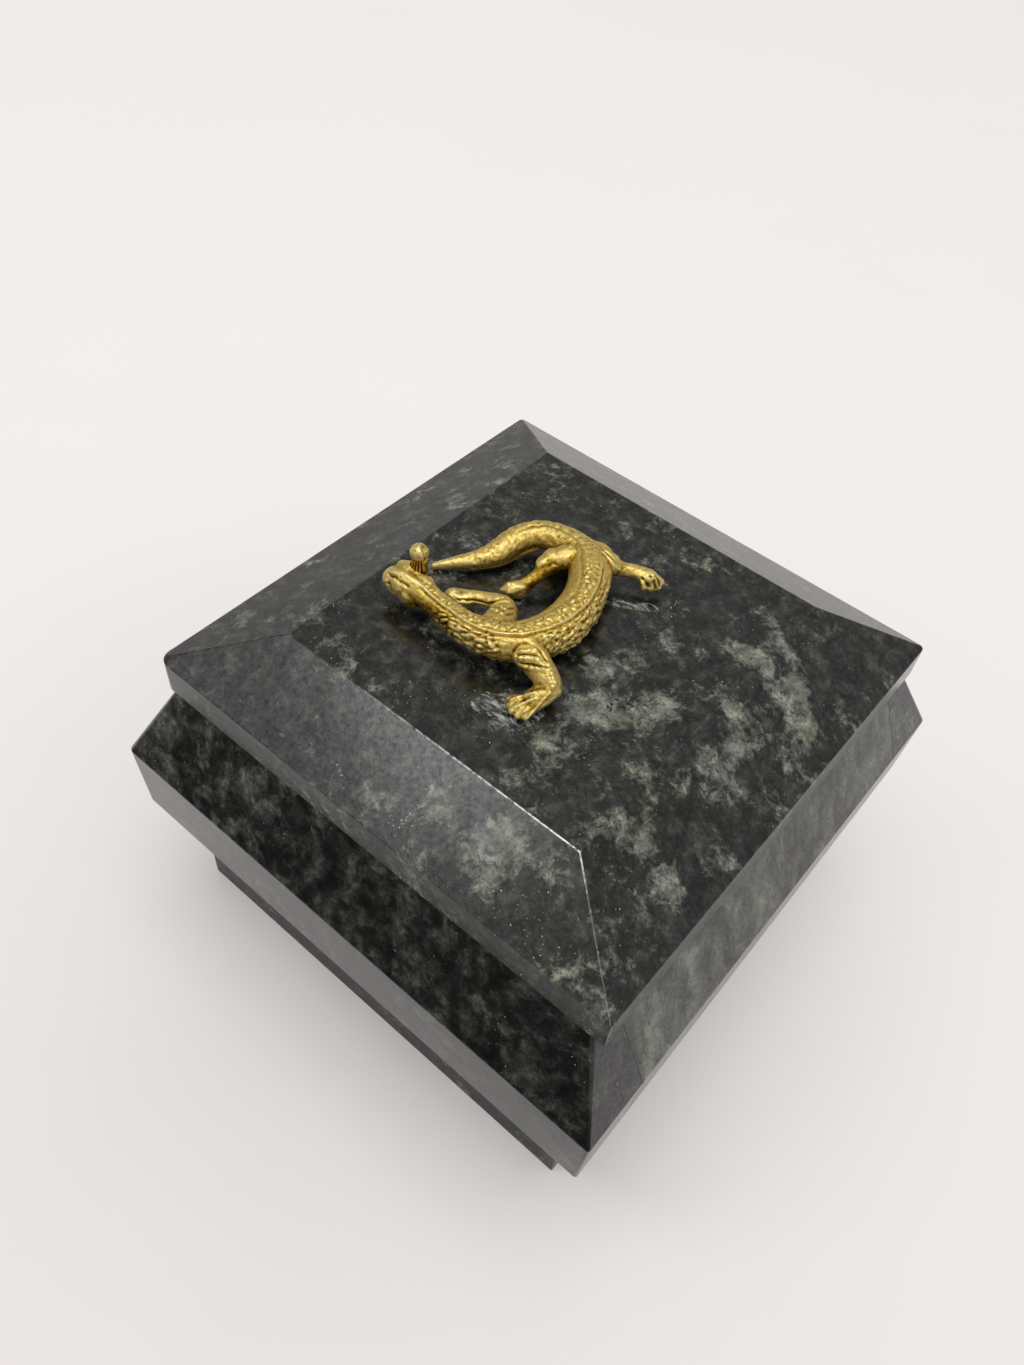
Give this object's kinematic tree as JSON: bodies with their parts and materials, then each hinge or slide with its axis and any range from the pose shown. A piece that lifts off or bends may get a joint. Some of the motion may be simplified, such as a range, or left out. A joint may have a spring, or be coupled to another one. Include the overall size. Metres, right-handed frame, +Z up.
{
  "type": "stone trinket box",
  "caption": "Squat stone keepsake box with sloped walls on a base plate and a hipped lift-off lid that carries a curled cast lizard.",
  "frame": {"origin": "middle of the base plate's underside", "axes": "+Z up, +X towards the right wall, which fits between the long walls, -Y towards the front wall, which is full length"},
  "size_m": [0.1006, 0.104, 0.0823],
  "materials": {
    "stone": "polished dark green serpentine with cloudy pale patches",
    "seam_glue": "dark set glue",
    "cast_brass": "cast, rubbed bright on the high places",
    "clear_glue": "hazy set glue"
  },
  "bodies": {
    "box": {"base_plate": "stone", "wall_front": "stone", "wall_back": "stone", "wall_left": "stone", "wall_right": "stone", "wall_seams": "seam_glue"},
    "lid": {"lid_slab": "stone", "lid_locating_plate": "stone", "lizard": "cast_brass", "lizard_glue": "clear_glue"}
  },
  "joints": [
    {"name": "lid_lift", "type": "slide", "parent": "box", "child": "lid", "axis": [0, 0, 1], "range_m": [0, 0.06]}
  ]
}
